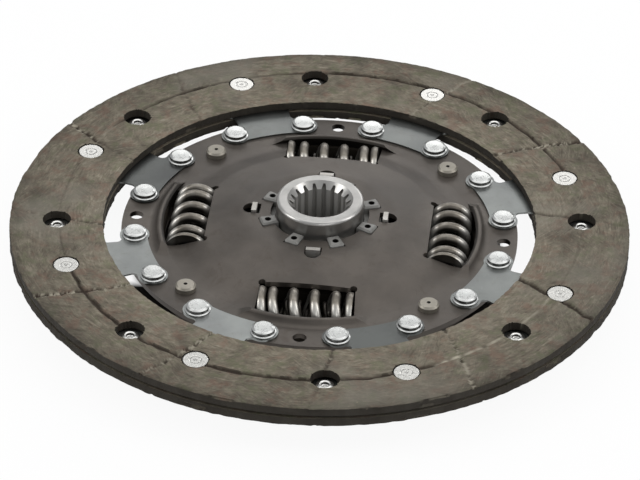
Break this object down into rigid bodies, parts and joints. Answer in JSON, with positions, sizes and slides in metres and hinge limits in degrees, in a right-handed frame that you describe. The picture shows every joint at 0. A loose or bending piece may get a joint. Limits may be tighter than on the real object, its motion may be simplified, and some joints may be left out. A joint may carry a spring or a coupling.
{
  "type": "clutch disc",
  "caption": "Dry clutch friction disc: grooved linings riveted to wavy spring segments, and a splined hub held by coil springs between two cover plates.",
  "frame": {"origin": "on the rotation axis, at the foot of the hub's shorter end, where the disc stands on a table", "axes": "+Z along the rotation axis towards the gearbox side, which shows the damper's raised cover; +X and +Y lie in the plane of the linings"},
  "size_m": [0.228, 0.228, 0.0281],
  "materials": {
    "lining": "worn wound-fibre friction lining, brown-grey with brassy flecks",
    "spring_steel": "thin rolled spring steel, bluish grey",
    "rivet_steel": "bright formed rivet steel",
    "dark_plate": "smooth pressed steel with a dark phosphate coat",
    "pin_steel": "dull upset steel, light grey-tan",
    "coil_steel": "oil-tempered spring wire, dark bronze-grey",
    "machined_steel": "turned and broached steel, bright",
    "bright_steel": "sheared and bent sheet steel",
    "bush_polymer": "dull grey moulded polymer"
  },
  "bodies": {
    "disc": {"lining_top": "lining", "lining_bottom": "lining", "cushion_segment_1": "spring_steel", "cushion_segment_2": "spring_steel", "cushion_segment_3": "spring_steel", "cushion_segment_4": "spring_steel", "cushion_segment_5": "spring_steel", "cushion_segment_6": "spring_steel", "cushion_segment_7": "spring_steel", "cushion_segment_8": "spring_steel", "lining_rivets_top": "rivet_steel", "lining_rivets_bottom": "rivet_steel", "segment_rivets": "rivet_steel", "carrier_plate": "dark_plate", "retainer_plate": "dark_plate", "stop_pins": "pin_steel", "torsion_spring_1": "coil_steel", "torsion_spring_2": "coil_steel", "torsion_spring_3": "coil_steel", "torsion_spring_4": "coil_steel", "inner_spring_1": "coil_steel", "inner_spring_2": "coil_steel", "inner_spring_3": "coil_steel", "inner_spring_4": "coil_steel", "hub_bush": "bush_polymer", "support_ring": "bright_steel", "spring_washer": "spring_steel", "friction_ring_top": "bush_polymer", "friction_ring_bottom": "bush_polymer"},
    "hub_unit": {"hub": "machined_steel", "hub_flange": "dark_plate"}
  },
  "joints": [
    {"name": "hub_twist", "type": "hinge", "parent": "disc", "child": "hub_unit", "pos_m": [0, 0, 0.01], "axis": [0, 0, 1], "range_deg": [-8, 8], "stiffness_Nm_per_rad": 100, "deforming": ["torsion_spring_1", "torsion_spring_2", "torsion_spring_3", "torsion_spring_4", "inner_spring_1", "inner_spring_2", "inner_spring_3", "inner_spring_4"]}
  ]
}
